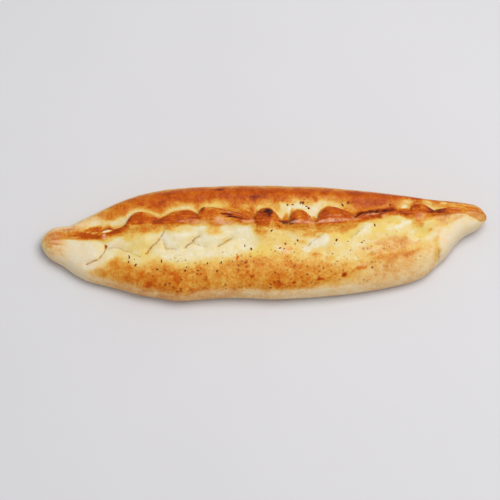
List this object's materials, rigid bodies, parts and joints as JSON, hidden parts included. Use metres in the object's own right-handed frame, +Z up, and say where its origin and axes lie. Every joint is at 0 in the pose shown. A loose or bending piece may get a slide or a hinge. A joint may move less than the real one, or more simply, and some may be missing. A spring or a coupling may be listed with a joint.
{
  "type": "filled bread stick",
  "caption": "Long closed bread with a filling inside, folded over and pinched along the top, with rolled tips and a browned, herb-flecked crust.",
  "frame": {"origin": "middle of the bread's outline, on the plane that it rests on", "axes": "+X along the bread towards the tip that is lifted off the plate, +Y from the belly, where the upper dough is whole, to the back that it is laid over, +Z up"},
  "size_m": [0.42, 0.1124, 0.0489],
  "materials": {
    "crust": "satin",
    "herb": "matte"
  },
  "bodies": {
    "root": {"bread": "crust"}
  },
  "joints": []
}
